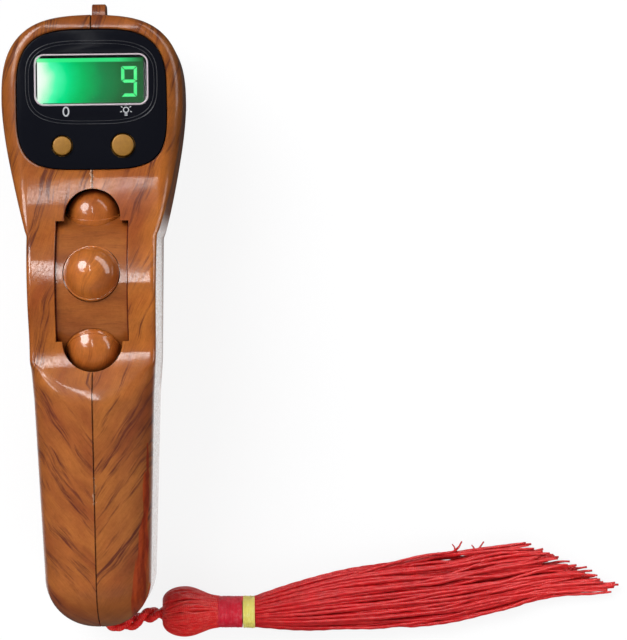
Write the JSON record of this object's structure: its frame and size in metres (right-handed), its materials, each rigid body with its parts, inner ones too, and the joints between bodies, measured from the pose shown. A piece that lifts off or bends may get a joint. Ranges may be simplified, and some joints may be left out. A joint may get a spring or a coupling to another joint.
{
  "type": "digital tally counter",
  "caption": "Hand-held digital tally counter with a thumb-driven bead wheel, a lit display, two keys, a wood-print handle and a red tassel.",
  "frame": {"origin": "middle of the counter's length and width, on the surface that its back lies on", "axes": "+X to the right seen from the display side, +Y along the handle towards the display, +Z out of the display"},
  "size_m": [0.1164, 0.1193, 0.0419],
  "materials": {
    "wood_print": "moulded plastic with a wood-grain film under clear gloss lacquer",
    "black_fascia": "black, gloss",
    "clear_window": "clear acrylic with a pale printed line round its edge",
    "lcd_green": "liquid crystal panel lit green from one side",
    "milky_plastic": "milky white",
    "black_plastic": "moulded, matte",
    "black_rubber": "conductive elastomer",
    "board_green": "printed circuit board with solder resist",
    "gold_key": "satin gold plating",
    "steel": "bright",
    "bronze": "spring bronze strip",
    "red_thread": "silky twisted thread",
    "crimson_thread": "silky thread, wound",
    "yellow_thread": "silky thread, wound"
  },
  "bodies": {
    "case": {"left_shell": "wood_print", "right_shell": "wood_print", "wheel_axle": "steel", "left_washer": "milky_plastic", "right_washer": "milky_plastic", "contact_leaf": "bronze", "contact_block": "black_plastic", "fixed_contact": "bronze", "display_bezel": "black_fascia", "display_window": "clear_window", "lcd_panel": "lcd_green", "light_guide": "milky_plastic", "zebra_strip": "black_rubber", "backlight_led": "milky_plastic", "display_board": "board_green", "counter_chip": "black_plastic", "reset_switch": "steel", "light_switch": "steel", "coin_cell": "steel", "top_contact": "bronze", "rim_contact": "bronze", "case_screw_1": "steel", "case_screw_2": "steel", "case_screw_3": "steel", "case_screw_4": "steel", "tassel_pin": "steel", "tassel_cord": "red_thread", "tassel_head": "red_thread", "tassel_neck_wrap": "crimson_thread", "tassel_gold_wrap": "yellow_thread", "tassel_skirt": "red_thread"},
    "wheel": {"bead_wheel": "wood_print", "bead_1": "wood_print", "bead_2": "wood_print", "bead_3": "wood_print", "bead_4": "wood_print", "bead_5": "wood_print", "bead_6": "wood_print"},
    "reset_key": {"reset_button": "gold_key", "reset_plunger": "black_plastic"},
    "light_key": {"light_button": "gold_key", "light_plunger": "black_plastic"},
    "cap": {"battery_cap": "wood_print"}
  },
  "joints": [
    {"name": "wheel_spin", "type": "hinge", "parent": "case", "child": "wheel", "pos_m": [0, 0.005, 0.0225], "axis": [1, 0, 0], "continuous": true},
    {"name": "reset_press", "type": "slide", "parent": "case", "child": "reset_key", "axis": [0, 0, -1], "range_m": [0, 0.0004], "stiffness_N_per_m": 1000, "springref_m": -0.0004},
    {"name": "light_press", "type": "slide", "parent": "case", "child": "light_key", "axis": [0, 0, -1], "range_m": [0, 0.0004], "stiffness_N_per_m": 1000, "springref_m": -0.0004},
    {"name": "cap_turn", "type": "hinge", "parent": "case", "child": "cap", "pos_m": [0, 0.04, 0.009], "axis": [0, 0, 1], "range_deg": [0, 60]}
  ]
}
